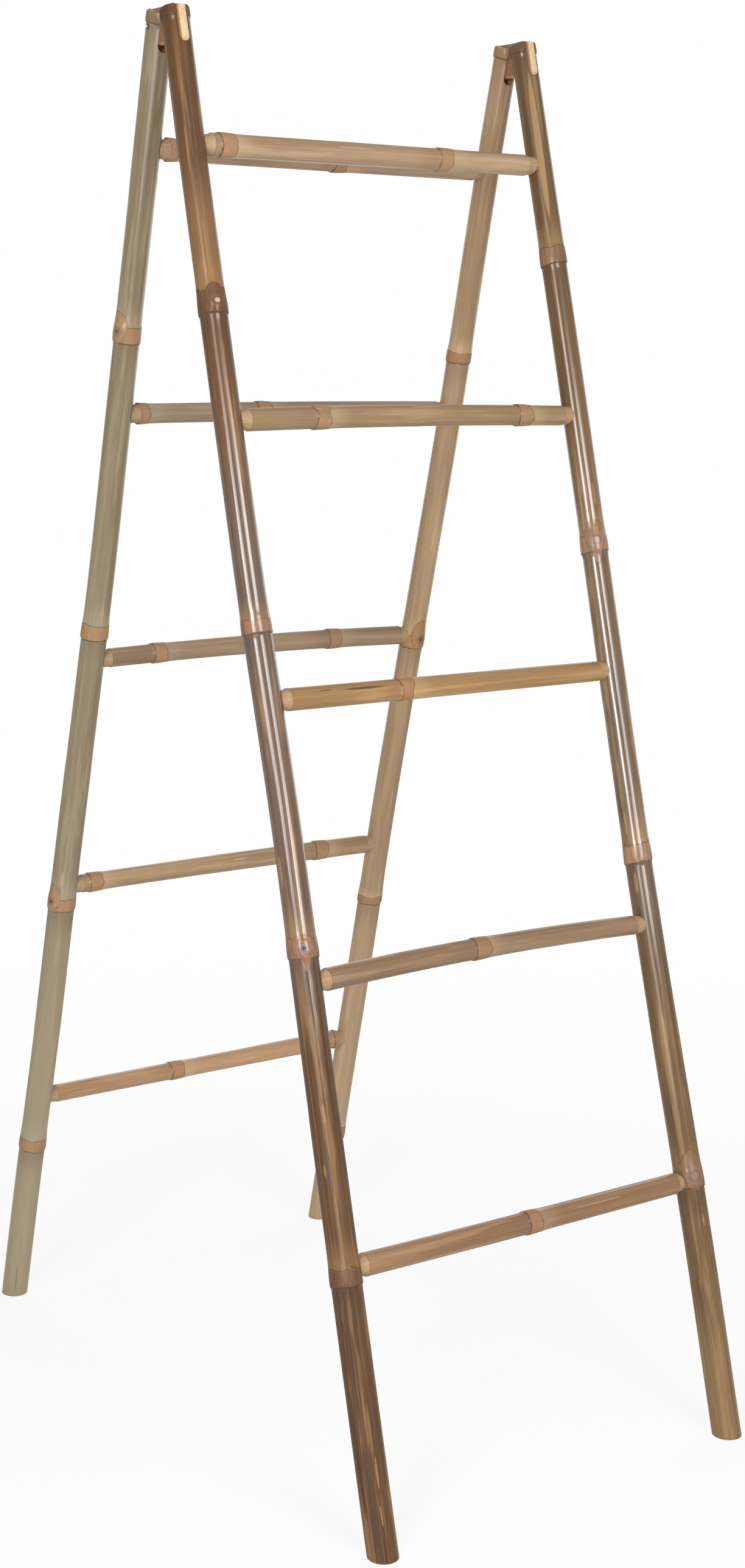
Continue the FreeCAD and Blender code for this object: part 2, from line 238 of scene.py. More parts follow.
# How an end is whittled: mm back from the bark's edge, share of the step from the neck to the bark
WHITTLE = ((0.0, 1.0), (0.7, 0.93), (2.4, 0.62), (4.4, 0.26), (6.2, 0.04), (7.4, 0.0))
BARK_LIP = 0.7 * MM
BARK_INSET = 0.3 * MM
TIP_ROUNDING = 1 * MM
TIP_INSET = 0.8 * MM

# How a pole's head is rounded: mm in from its side, mm below its top
HEAD_ROUNDING = ((0.1, 2.6), (0.5, 1.4), (1.1, 0.6), (2.0, 0.15), (3.0, 0.0))


def tone(red, green, blue):
    """A colour as read off a screen, 0 to 255, in Blender's linear values."""
    shares = (channel / 255 for channel in (red, green, blue))
    return tuple(s / 12.92 if s <= 0.04045 else ((s + 0.055) / 1.055) ** 2.4 for s in shares)


def on_line(points, at):
    """The height at one place of a line through (place, height) points."""
    if at <= points[0][0]:
        return points[0][1]
    for (start, low), (end, high) in zip(points, points[1:]):
        if at <= end:
            return low + (high - low) * (at - start) / (end - start)
    return points[-1][1]


def on_curve(points, at):
    """As on_line, but eased into a smooth curve by averaging over a short stretch."""
    return sum(on_line(points, at + CROOK_EASE * step / 4) for step in QUARTERS) / len(QUARTERS)


class Shade:
    """A shader socket on which arithmetic adds Math nodes."""

    def __init__(self, finish, socket):
        self.finish = finish
        self.socket = socket

    def math(self, operation, *values):
        return self.finish.add("ShaderNodeMath", {"operation": operation}, dict(enumerate(values)))

    def __add__(self, other):
        return self.math("ADD", self, other)

    def __radd__(self, other):
        return self.math("ADD", other, self)

    def __sub__(self, other):
        return self.math("SUBTRACT", self, other)

    def __rsub__(self, other):
        return self.math("SUBTRACT", other, self)

    def __mul__(self, other):
        return self.math("MULTIPLY", self, other)

    def __rmul__(self, other):
        return self.math("MULTIPLY", other, self)

    def __truediv__(self, other):
        return self.math("DIVIDE", self, other)

    def __abs__(self):
        return self.math("ABSOLUTE", self)

    def power(self, exponent):
        return self.math("POWER", self, exponent)

    def larger(self, other):
        return self.math("MAXIMUM", self, other)

    def rise(self, start, end):
        """0 up to start, 1 from end on, and smooth between them."""
        settings = {"interpolation_type": "SMOOTHSTEP"}
        sockets = {"Value": self, "From Min": start, "From Max": end}
        return self.finish.add("ShaderNodeMapRange", settings, sockets)

    def line(self, width):
        """1 where the value is nought, fading to 0 at a width on either side."""
        return 1 - abs(self).rise(width * 0.4, width)


# Sockets of a Mix node for colours, which share their names with those for numbers
MIX_SHARE, MIX_FIRST, MIX_SECOND, MIX_RESULT = 0, 6, 7, 2


class Finish:
    """A node tree that is being written: a material's or the world's."""

    def __init__(self, owner):
        owner.use_nodes = True
        self.owner = owner
        self.tree = owner.node_tree
        self.tree.nodes.clear()

    def feed(self, socket, value):
        if isinstance(value, Shade):
            self.tree.links.new(value.socket, socket)
        elif socket.type == "RGBA":
            socket.default_value = (*value, 1)
        else:
            socket.default_value = value

    def add(self, kind, settings=None, sockets=None, output=0):
        """A node of any kind; its settings are set before the values or links of its sockets."""
        node = self.tree.nodes.new(kind)
        for name, value in (settings or {}).items():
            setattr(node, name, value)
        for name, value in (sockets or {}).items():
            self.feed(node.inputs[name], value)
        return Shade(self, node.outputs[output]) if node.outputs else None

    def stored(self, name, output):
        return self.add("ShaderNodeAttribute", {"attribute_name": name}, output=output)

    def parts(self, vector):
        node = self.tree.nodes.new("ShaderNodeSeparateXYZ")
        self.feed(node.inputs[0], vector)
        return [Shade(self, socket) for socket in node.outputs]

    def vector(self, operation, first, second):
        return self.add("ShaderNodeVectorMath", {"operation": operation}, {0: first, 1: second})

    def noise(self, vector, detail=3.0, roughness=0.55):
        sockets = {"Vector": vector, "Scale": 1.0, "Detail": detail, "Roughness": roughness}
        return self.add("ShaderNodeTexNoise", {}, sockets)

    def blend(self, share, first, second):
        """The second colour over the first by a share."""
        sockets = {MIX_SHARE: share, MIX_FIRST: first, MIX_SECOND: second}
        return self.add("ShaderNodeMix", {"data_type": "RGBA"}, sockets, output=MIX_RESULT)

    def surface(self, sockets):
        shader = self.add("ShaderNodeBsdfPrincipled", {}, sockets)
        self.add("ShaderNodeOutputMaterial", {}, {"Surface": shader})
        return self.owner

    def bump(self, height, strength, distance):
        sockets = {"Height": height, "Strength": strength, "Distance": distance}
        return self.add("ShaderNodeBump", {}, sockets)


def new_finish(name):
    return Finish(bpy.data.materials.new(name))


CUT_CREAM = tone(173, 146, 114)
CUT_GRAIN = tone(149, 118, 87)
CUT_TAN = tone(180, 145, 107)
# Bare wood of the poles, darkened as painted shade for the inside of the head slot; it colours all their
# cut faces
CUT_PAINTED_SHADE = tone(142, 100, 66)
NODE_LINE = tone(72, 48, 34)
# Painted shade inside a bud's hole
BUD_HOLE_SHADE = tone(48, 36, 34)
BUD_STUB = tone(206, 180, 148)
BUD_GREY = tone(142, 116, 106)

# Metres up a pole over which the painted light at its foot and its cracks fade, and a worn varnish gains
# and loses polish
PAINTED_LIGHT_FADES = (0.1, 0.8)
CRACKS_FADE = (0.16, 0.46)
POLISH_COMES = (0.48, 0.68)
POLISH_GOES = (1.02, 1.24)
# How far one cane's pattern is from the next one's, for each step of the seed
SEED_SHIFT = (0.37, 0.53, 3.1)


def bamboo(name, skin, deep, pale, band, seed, streaky=0.5, cracked=0.0, scarred=0.5, gloss=0.11,
           worn=0.0, foot_painted_light=0.0, pale_stretch=None, cut=CUT_PAINTED_SHADE, cut_grain=CUT_TAN):
    """Varnished bamboo: long streaks, scraped bands at the nodes, buds, and bare wood where it is cut.

    Streaky, cracked, scarred, gloss and worn are shares, and so is the painted light that makes a pole
    paler towards its foot. A pale stretch gives the metres along the cane where it starts and ends, and its
    share.
    """
    finish = new_finish(name)
    culm = finish.stored("culm", "Vector")
    along = finish.parts(culm)[2]
    gap, gap_size, dark_node = finish.parts(finish.stored("node", "Vector"))
    bud_side, bud_up, bud_facing = finish.parts(finish.stored("bud", "Vector"))
    bud_across = abs(bud_side) + 0.1 * (1 - bud_facing.rise(0, 0.002))
    eye_pale, tailed, greyed = finish.parts(finish.stored("bud_look", "Vector"))
    mark_side, mark_up, mark_facing = finish.parts(finish.stored("mark", "Vector"))
    mark_dark = finish.stored("mark_dark", "Fac")
    bare = finish.stored("bare", "Fac")
    shifted = finish.vector("ADD", culm, tuple(seed * step for step in SEED_SHIFT))

    def stretched(across, lengthwise):
        return finish.vector("MULTIPLY", shifted, (across, across, lengthwise))

    def fibres(across, lengthwise, detail=3.0, roughness=0.55):
        return finish.noise(stretched(across, lengthwise), detail, roughness)

    clouds = fibres(22, 2.6)
    patches = fibres(95, 5.5, 4.0, 0.62)
    streaks = fibres(260, 2.2, 4.0, 0.6)
    hairs = fibres(900, 7.0, 3.0, 0.6)
    blots = fibres(75, 16, 4.0, 0.65)

    # The skin: two tones in clouds, ragged long patches, streaks, fine hairs and blots of old varnish
    colour = finish.blend(clouds.rise(0.36, 0.64) * 0.75, skin, deep)
    colour = finish.blend(patches.rise(0.53, 0.63) * streaky, colour, pale)
    colour = finish.blend((1 - patches.rise(0.38, 0.47)) * streaky, colour, deep)
    colour = finish.blend(streaks.rise(0.52, 0.72) * streaky * 0.8, colour, pale)
    colour = finish.blend((1 - streaks.rise(0.3, 0.46)) * streaky * 0.55, colour, deep)
    colour = finish.blend(hairs.rise(0.5, 0.78) * 0.25, colour, pale)
    colour = finish.blend((1 - hairs.rise(0.24, 0.46)) * 0.2, colour, deep)
    colour = finish.blend(blots.rise(0.6, 0.72) * 0.4, colour, deep)
    # Painted light: a pole is blended towards its pale tone near its foot
    colour = finish.blend((1 - along.rise(*PAINTED_LIGHT_FADES)) * foot_painted_light, colour, pale)
    if pale_stretch:
        start, end, share = pale_stretch
        ragged_end = (along + 0.08 * (patches - 0.5)).rise(end - 0.09, end)
        in_stretch = along.rise(start, start + 0.02) * (1 - ragged_end)
        colour = finish.blend(in_stretch * share * (0.6 + 0.8 * clouds), colour, pale)

    # Scars: long pale lenses with a darker rim, on a few places only
    scar_cells = {"Vector": stretched(130, 8.5), "Scale": 1.0, "Randomness": 1.0}
    scar_reach = finish.add("ShaderNodeTexVoronoi", {}, scar_cells, output="Distance")
    scar_pick = finish.parts(finish.add("ShaderNodeTexVoronoi", {}, scar_cells, output="Color"))[0]
    scar_reach = scar_reach + 0.12 * (blots - 0.5)
    scarred_here = scar_pick.rise(0.8, 0.82) * scarred
    colour = finish.blend((1 - scar_reach.rise(0.15, 0.18)) * scarred_here * 0.8, colour, pale)
    colour = finish.blend((scar_reach - 0.18).line(0.03) * scarred_here * 0.6, colour, deep)

    # Marks that this cane has: pale scars with a dark rim, or black splits
    mark_wave = 0.35 * (blots - 0.5) + 0.25 * (hairs - 0.5)
    mark_reach = (mark_side * mark_side + mark_up * mark_up).power(0.5) + mark_wave
    on_mark = mark_facing.rise(0, 0.004)
    mark_colour = finish.blend(mark_dark, pale, NODE_LINE)
    colour = finish.blend((1 - mark_reach.rise(0.75, 1.0)) * on_mark * 0.9, colour, mark_colour)
    mark_rim = (mark_reach - 1.05).line(0.22) * on_mark
    colour = finish.blend(mark_rim * (0.15 + 0.6 * mark_dark), colour, deep)

    # Weathered cracks that run up from the foot
    split_lines = fibres(95, 1.5, 2.0, 0.4)
    split_fade = (1 - along.rise(*CRACKS_FADE)) * fibres(30, 5).rise(0.42, 0.58)
    splits = (split_lines - 0.5).line(0.01) * split_fade * cracked
    colour = finish.blend(splits * 0.6, colour, NODE_LINE)
    bleach = (split_lines - 0.545).line(0.03) * split_fade * cracked
    colour = finish.blend(bleach * 0.55, colour, pale)

    # Either side of a node: paler wax above it, darker below
    near = 1 - gap_size.rise(0.7 * NEAR_NODE, 0.95 * NEAR_NODE)
    above = gap.rise(0.0, 0.012) * (1 - gap.rise(0.016, 0.055)) * near
    below = (1 - gap.rise(-0.012, 0.0)) * gap.rise(-0.05, -0.008) * near
    colour = finish.blend(above * (0.15 + 0.6 * blots), colour, pale)
    colour = finish.blend(below * 0.55, colour, deep)

    # The scraped band, its edges wandering, with a lobe over a bud
    wander = fibres(62, 5.0, 2.0) - 0.5
    ripple = fibres(230, 9.0, 2.0) - 0.5
    over_foot = gap + BAND_FOOT + 0.005 * wander + 0.0022 * ripple
    under_top = BAND_TOP - gap + 0.016 * wander + 0.003 * ripple
    lobe_width = (bud_across + 0.006 * ripple) / 0.0105
    lobe_height = (bud_up - 0.010 + 0.008 * wander) / 0.0175
    lobe = lobe_width * lobe_width + lobe_height * lobe_height
    in_lobe = (1 - lobe.rise(0.94, 1.06)) * near
    in_ring = over_foot.rise(0, 0.0005) * under_top.rise(0, 0.0005) * near
    tail_down = (0 - bud_up - 0.004) / 0.016
    tail_edge = 0.0056 * (1 - tail_down * tail_down) - bud_across + 0.001 * ripple
    in_tail = tail_edge.rise(0, 0.0006) * tail_down.rise(0, 0.05) * tailed * near
    in_band = in_ring.larger(in_lobe).larger(in_tail)
    # The dark line at the band's foot is partly a real rim and partly painted shade under the ridge
    edge = over_foot.line(0.0012).larger(under_top.line(0.0009)) * near
    edge = edge * (1 - in_lobe * 0.9) * (1 - in_tail * 0.9)
    edge = edge.larger((lobe - 1).line(0.1) * over_foot.rise(0, 0.004) * near * 0.6)
    edge = edge.larger(tail_edge.line(0.0009) * tail_down.rise(0.05, 0.15) * tailed * near)
    scraped = fibres(620, 40, 3.0)
    frayed = 1 - gap.rise(-0.001, 0.006)
    band_colour = finish.blend(scraped.rise(0.36, 0.66) * 0.4, band, deep)
    band_colour = finish.blend(blots.rise(0.45, 0.65) * 0.35, band_colour, deep)
    band_colour = finish.blend(scraped.rise(0.54, 0.68) * (0.15 + 0.5 * frayed), band_colour, pale)
    band_colour = finish.blend(dark_node * (0.75 + 0.5 * wander), band_colour, deep)
    colour = finish.blend(in_band * 0.86, colour, band_colour)
    colour = finish.blend(edge * (0.6 + 1.2 * ripple), colour, NODE_LINE)

    # A bud's dome, with a dark hole, its darkness painted shade, or a pale stub for an eye
    eye_up = bud_up - EYE_UP
    eye = (bud_across * bud_across + eye_up * eye_up).power(0.5) + 0.002 * ripple + 0.003 * wander
    dome = (1 - eye.rise(0.006, 0.0095)) * near * greyed
    colour = finish.blend(dome * (0.55 + 0.8 * (scraped - 0.5)), colour, BUD_GREY)
    eye_colour = finish.blend(eye_pale, BUD_HOLE_SHADE, BUD_STUB)
    colour = finish.blend((1 - eye.rise(0.0018, 0.0036)) * near * 0.9, colour, eye_colour)
    colour = finish.blend((eye - 0.0045).line(0.0014) * near * 0.3, colour, NODE_LINE)

    # Bare wood where the knife or saw has been; on the poles its tone is darkened as painted shade for the
    # inside of the head slot
    knife = fibres(420, 90, 3.0)
    cut_colour = finish.blend(knife.rise(0.4, 0.68) * 0.6, cut, cut_grain)
    cut_colour = finish.blend((1 - knife.rise(0.26, 0.4)) * 0.4, cut_colour, deep)
    colour = finish.blend(bare, colour, cut_colour)

    # The varnish: glints along the fibres, thin on bands and cuts, and dull where it is worn
    dull = in_band.larger(bare)
    roughness = 0.38 + 0.22 * blots + 0.2 * dull
    glints = fibres(640, 2.4, 3.0, 0.6).rise(0.32, 0.68)
    polished = along.rise(*POLISH_COMES) * (1 - along.rise(*POLISH_GOES))
    covered = (1 - 0.5 * in_band - 0.85 * bare + 0.4 * (clouds - 0.5)).larger(0.05)
    coat = gloss * (0.5 + glints) * covered * (1 - worn * (1 - polished))

    relief = 0.35 * hairs + 0.3 * streaks + 0.9 * in_band - 0.9 * edge - 1.2 * splits
    relief = relief + 0.8 * scraped * dull - 1.5 * (1 - eye.rise(0.001, 0.004)) * near
    return finish.surface({
        "Base Color": colour,
        "Roughness": roughness,
        "Coat Weight": coat,
        "Coat Roughness": 0.18,
        "Coat IOR": 3.2,
        "Specular IOR Level": 0.1,
        "Normal": finish.bump(relief, 0.5, 0.0006),
    })


def batten_wood():
    """Bare sawn batten: long grain, growth lines and a strip of brown skin on one side, its tone darkened
    as painted shade.
    """
    finish = new_finish("bare_batten")
    place = finish.stored("batten", "Vector")
    across, _, up = finish.parts(place)
    grain = finish.noise(finish.vector("MULTIPLY", place, (420, 9, 420)), 4.0, 0.6)
    pores = finish.noise(finish.vector("MULTIPLY", place, (1500, 60, 1500)), 2.0)
    stain = finish.noise(finish.vector("MULTIPLY", place, (60, 30, 60)), 3.0)
    colour = finish.blend(grain.rise(0.35, 0.7) * 0.7, tone(222, 194, 156), tone(200, 164, 122))
    colour = finish.blend((1 - pores.rise(0.26, 0.42)) * 0.25, colour, tone(160, 120, 84))
    colour = finish.blend(stain.rise(0.5, 0.75) * 0.4, colour, tone(186, 138, 96))
    # The skin strip on the left side is real; its dark tone is partly painted shade for that side
    skin = 1 - (across + 0.002 * (stain - 0.5)).rise(-TONGUE_LEFT + 0.0009, -TONGUE_LEFT + 0.0024)
    colour = finish.blend(skin * 0.9, colour, tone(132, 90, 58))
    foot = 1 - up.rise(-TONGUE_BELOW_PIN, -TONGUE_BELOW_PIN + 0.006)
    colour = finish.blend(foot * 0.45, colour, tone(150, 104, 68))
    return finish.surface({
        "Base Color": colour,
        "Roughness": 0.55 + 0.2 * grain - 0.12 * skin,
        "Specular IOR Level": 0.35,
        "Normal": finish.bump(grain + 0.6 * pores, 0.4, 0.0003),
    })


def nail_steel():
    """Plain nail steel, bright where it was struck, with rusty freckles, and dark at the rim of the head as
    painted shade of the dent round it.
    """
    finish = new_finish("nail_steel")
    reach, _, _ = finish.parts(finish.stored("nail", "Vector"))
    place = finish.add("ShaderNodeTexCoord", output="Object")
    wear = finish.noise(finish.vector("MULTIPLY", place, (900, 900, 900)), 3.0)
    freckles = finish.noise(finish.vector("MULTIPLY", place, (420, 420, 420)), 4.0)
    # Painted shade: the rim of the head is darkened for the dent round it; the freckles are rusty
    rust_and_dent_shade = (reach + 0.0012 * (freckles - 0.5)).rise(NAIL_RADIUS, NAIL_RADIUS * 1.3)
    rust_and_dent_shade = rust_and_dent_shade.larger(freckles.rise(0.6, 0.7) * 0.7)
    return finish.surface({
        "Base Color": finish.blend(rust_and_dent_shade, tone(214, 210, 200), tone(66, 46, 34)),
        "Metallic": 1 - 0.9 * rust_and_dent_shade,
        "Roughness": 0.3 + 0.2 * wear + 0.3 * rust_and_dent_shade,
        "Normal": finish.bump(wear, 0.3, 0.0002),
    })


def corner_name(frame_side, side):
    return f"{FRAME_NAMES[frame_side]}_{SIDE_NAMES[side]}"


def weld(shape):
    """Joins points that lie on each other and turns all faces outwards."""
    bmesh.ops.remove_doubles(shape, verts=shape.verts[:], dist=SAME_POINT)
    bmesh.ops.recalc_face_normals(shape, faces=shape.faces[:])


def round_edges(shape, edges, offset, segments):
    bmesh.ops.bevel(
        shape, geom=edges, offset=offset, affect="EDGES", segments=segments, profile=0.5, material=-1
    )


def long_edges(shape, low):
    """The upper or lower edges of a bar that lies along Y."""
    return [
        edge for edge in shape.edges
        if abs(edge.verts[0].co.y - edge.verts[1].co.y) > MM and (edge.verts[0].co.z < 0) == low
    ]


def smooth(mesh, sharp_from):
    """Shades a mesh smooth but for edges that turn by more than an angle in degrees."""
    for face in mesh.polygons:
        face.use_smooth = True
    mesh.set_sharp_from_angle(angle=math.radians(sharp_from))


def spun(profile, sides):
    """A solid of revolution about Z from a chain of (radius, height) points."""
    shape = bmesh.new()
    chain = [shape.verts.new((radius, 0, height)) for radius, height in profile]
    links = [shape.edges.new(pair) for pair in zip(chain, chain[1:])]
    bmesh.ops.spin(
        shape, geom=chain + links, cent=(0, 0, 0), axis=(0, 0, 1), angle=math.tau, steps=sides,
        use_merge=True, use_duplicate=False,
    )
    weld(shape)
    return shape


def nearest_node(nodes, along):
    """The node nearest to a place along a cane, with the distance above it."""
    node = min(nodes, key=lambda found: abs(along - found.along * MM))
    return node, along - node.along * MM


def swell(gap):
    return NODE_SWELL * on_line(SWELL_CURVE, gap / MM)


def ring_heights(start, end, nodes, marks):
    """Heights at which a cane needs a ring: evenly spaced, and close together at the nodes and marks."""
    count = max(2, round((end - start) / RING_STEP))
    heights = {start + (end - start) * ring / count for ring in range(count + 1)}
    for node in nodes:
        heights |= {(node.along + step) * MM for step, _ in SWELL_CURVE}
    for mark in marks:
        heights |= {(mark.along + mark.length * MARK_REACH * step / 4) * MM for step in QUARTERS}
    rings = []
    for height in sorted(height for height in heights if start <= height <= end):
        if not rings or height - rings[-1] > RING_LEAST:
            rings.append(height)
    return rings


def round_from(point, radius, turn):
    """How far a point lies to the side of a turn from the view, and how far it faces that way."""
    angle = math.atan2(point.y, point.x) - (VIEW_TURN + math.radians(turn))
    return radius * math.sin(angle), radius * math.cos(angle)


def bud_place(node, point, radius, gap):
    """A point's place to the side of, above and in front of its node's bud, if it has one."""
    if node.bud is None:
        return FAR, FAR, -FAR
    aside, facing = round_from(point, radius, node.bud.turn)
    up = gap / node.bud.tall if gap > 0 else gap
    return aside / node.bud.size, up / node.bud.size, facing / node.bud.size


def mark_place(marks, point, radius):
    """A point's place in its nearest mark, 1 being the mark's edge, and how dark the mark is."""
    mark = min(marks, key=lambda found: abs(point.z - found.along * MM) / found.length)
    aside, facing = round_from(point, radius, mark.turn)
    up = (point.z - mark.along * MM) / (mark.length * MM)
    if abs(up) > MARK_REACH:
        facing = -FAR
    return (aside / (mark.width * MM), up, facing), mark.dark


def bud_rise(place):
    """The lump that a bud makes, with a dimple at its eye."""
    aside, up, facing = place
    if facing < 0:
        return 0
    lump = 2.3 * MM * math.exp(-(aside / (9 * MM)) ** 2 - ((up - EYE_UP) / (10 * MM)) ** 2)
    dimple = 1.2 * MM * math.exp(-(aside / (3 * MM)) ** 2 - ((up - EYE_UP) / (3 * MM)) ** 2)
    return lump - dimple


def shape_nodes(shape, nodes, skin_radius):
    """Tilts the rings at the nodes, makes the cane a little oval and raises the buds."""
    for vert in shape.verts:
        out = Vector((vert.co.x, vert.co.y, 0))
        if out.length < 0.6 * skin_radius:
            continue
        node, gap = nearest_node(nodes, vert.co.z)
        turn = math.atan2(out.y, out.x)
        out_share = 1 - OVAL_SHARE * (1 + math.cos(2 * turn + node.along))
        place = bud_place(node, vert.co, out.length, gap)
        lift = bud_rise(place) if abs(gap) < NEAR_NODE else 0
        moved = out * out_share + out.normalized() * lift
        fade = max(0, 1 - abs(gap) / NEAR_NODE)
        rise = node.tilt * out.length * math.sin(turn - VIEW_TURN) * fade
        vert.co = Vector((moved.x, moved.y, vert.co.z + rise))


def cut_to_foot(shape, up):
    """Saws a culm level with the floor and closes the wall that the saw leaves."""
    geometry = shape.verts[:] + shape.edges[:] + shape.faces[:]
    bmesh.ops.bisect_plane(
        shape, geom=geometry, dist=ON_PLANE, plane_co=(0, 0, 0), plane_no=up, clear_inner=True,
        clear_outer=False,
    )
    rims = [edge for edge in shape.edges if edge.is_boundary]
    bmesh.ops.bridge_loops(shape, edges=rims)
    bmesh.ops.recalc_face_normals(shape, faces=shape.faces[:])


def to_object(shape, name):
    mesh = bpy.data.meshes.new(name)
    shape.to_mesh(mesh)
    shape.free()
    piece = bpy.data.objects.new(name, mesh)
    bpy.context.scene.collection.objects.link(piece)
    return piece


def saw_out(piece, cutter):
    """Cuts one shape out of a piece for good and removes the cutter."""
    saw = piece.modifiers.new("saw", "BOOLEAN")
    saw.operation = "DIFFERENCE"
    saw.solver = "EXACT"
    saw.object = cutter
    bpy.context.view_layer.update()
    whole = piece.data
    evaluated = piece.evaluated_get(bpy.context.evaluated_depsgraph_get())
    cut_mesh = bpy.data.meshes.new_from_object(evaluated)
    piece.modifiers.clear()
    piece.data = cut_mesh
    cut_mesh.name = piece.name
    bpy.data.meshes.remove(whole)
    bpy.data.objects.remove(cutter)


def keep_pattern(piece, facts, skin_radius):
    """Stores where each point lies on the straight cane, so that the grain follows the bent one."""
    mesh = piece.data
    names = ("culm", "node", "bud", "bud_look", "mark")
    for name in names:
        mesh.attributes.new(name, "FLOAT_VECTOR", "POINT")
    mesh.attributes.new("mark_dark", "FLOAT", "POINT")
    stored = {name: mesh.attributes[name].data for name in names}
    mark_dark = mesh.attributes["mark_dark"].data
    for index, vert in enumerate(mesh.vertices):
        point = vert.co
        radius = max(math.hypot(point.x, point.y), skin_radius(point.z))
        node, gap = nearest_node(facts["nodes"], point.z)
        aside, _ = round_from(point, radius, 0)
        gap -= node.tilt * aside * max(0, 1 - abs(gap) / NEAR_NODE)
        stored["culm"][index].vector = point
        stored["bud"][index].vector = bud_place(node, point, radius, gap)
        if node.bud:
            stored["bud_look"][index].vector = (node.bud.pale, node.bud.tail, node.bud.grey)
        # Above its ridge a band is stored as if all bands were equally tall
        drawn = gap * BAND_TOP / (node.band * MM - BAND_FOOT) if gap > 0 else gap
        stored["node"][index].vector = (drawn, min(abs(gap), NEAR_NODE), node.dark)
        place, mark_dark[index].value = mark_place(facts["marks"], point, radius)
        stored["mark"][index].vector = place
    smooth(mesh, 38)


def lay_bare(piece, is_cut):
    """Marks the faces of a cane that show bare wood."""
    bare = piece.data.attributes.new("bare", "FLOAT", "FACE").data
    for face in piece.data.polygons:
        bare[face.index].value = 1.0 if is_cut(face.center) else 0.0


def pole_axes(frame_side, side):
    """Turn and foot of a pole, as a matrix from its straight culm to the ladder."""
    axis = Vector((
        -side * math.sin(SPLAY),
        -frame_side * math.cos(SPLAY) * math.sin(LEAN),
        math.cos(SPLAY) * math.cos(LEAN),
    ))
    across = (Vector((1, 0, 0)) - axis * axis.x).normalized()
    depth = axis.cross(across)
    foot = Vector((
        side * (HINGE_HALF_WIDTH + PIN_ALONG * math.sin(SPLAY)),
        frame_side * (PIN_SETBACK + PIN_ALONG * math.cos(SPLAY) * math.sin(LEAN)),
        0,
    ))
    turn = Matrix((across, depth, axis)).transposed()
    return Matrix.Translation(foot) @ turn.to_4x4()


def crook_at(frame_side, side, along):
    return on_curve(POLES[frame_side, side]["crook"], along / MM) * MM


def slot_cutter(frame_side, side, place):
    """The U-shaped saw slot at a pole's head, in the pole's own straight frame."""
    shape = bmesh.new()
    past_head, through = 40 * MM, 90 * MM
    height = SLOT_BELOW_PIN + past_head
    size = Matrix.Diagonal((2 * SLOT_HALF_WIDTH, through, height, 1))
    lift = Matrix.Translation((0, 0, height / 2 - SLOT_BELOW_PIN))
    bmesh.ops.create_cube(shape, size=1, matrix=lift @ size)
    round_edges(shape, long_edges(shape, True), SLOT_HALF_WIDTH * 0.96, 7)
    pin = Vector((side * HINGE_HALF_WIDTH, frame_side * PIN_SETBACK, PIN_HEIGHT))
    upright = Matrix.Translation(pin) @ Matrix.Rotation(frame_side * LEAN, 4, "X")
    bmesh.ops.transform(shape, matrix=place.inverted() @ upright, verts=shape.verts[:])
    return to_object(shape, "slot_saw")


def make_pole(frame_side, side, finish):
    facts = POLES[frame_side, side]
    foot_radius, top_radius = (radius * MM for radius in facts["radii"])
    nodes = facts["nodes"]

    def skin_radius(along):
        """Radius of the culm without its node swells."""
        return foot_radius + (top_radius - foot_radius) * along / POLE_LENGTH

    def rim(along):
        return skin_radius(along) + swell(nearest_node(nodes, along)[1])

    below_floor = -12 * MM
    bore = 0.55 * foot_radius
    bore_depth = 130 * MM
    bore_wall = [(0, bore_depth + 5 * MM), (0.7 * bore, bore_depth + 3 * MM), (bore, bore_depth - 2 * MM)]
    bore_wall += [(bore, bore_depth / 2), (bore, 3 * MM), (bore, below_floor)]
    outside = ring_heights(below_floor, POLE_LENGTH - 4.2 * MM, nodes, facts["marks"])
    outer_wall = [(rim(height), height) for height in outside]
    shoulder = outer_wall[-1][0]
    head = [(shoulder - inset * MM, POLE_LENGTH - drop * MM) for inset, drop in HEAD_ROUNDING]
    dished = POLE_LENGTH - 0.3 * MM
    head += [(0.45 * shoulder, dished), (0, dished)]
    inner = spun(bore_wall, POLE_SIDES)
    inner_mesh = bpy.data.meshes.new("bore")
    inner.to_mesh(inner_mesh)
    inner.free()
    shape = spun(outer_wall + head, POLE_SIDES)
    shape_nodes(shape, nodes, skin_radius(0))
    shape.from_mesh(inner_mesh)
    bpy.data.meshes.remove(inner_mesh)

    place = pole_axes(frame_side, side)
    cut_to_foot(shape, place.to_3x3().transposed() @ Vector((0, 0, 1)))
    corner = corner_name(frame_side, side)
    piece = to_object(shape, f"{corner}_culm")
    saw_out(piece, slot_cutter(frame_side, side, place))
    keep_pattern(piece, facts, skin_radius)
    lay_bare(piece, lambda at: math.hypot(at.x, at.y) < skin_radius(at.z) - 0.9 * MM)
    for vert in piece.data.vertices:
        bend = Vector((crook_at(frame_side, side, vert.co.z), 0, 0))
        vert.co = place @ vert.co + bend
    return dress(piece, finish, frame_side, f"{corner}_pole")


def dress(piece, finish, frame_side, node):
    """Gives a piece its finish, hides the solid that it stands for, and gives it its body: a frame, or the
    tongues at 0.
    """
    piece.data.materials.clear()
    piece.data.materials.append(finish)
    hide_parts(node)
    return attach(piece, f"{FRAME_NAMES[frame_side]}_frame" if frame_side else "hinge_tongues")


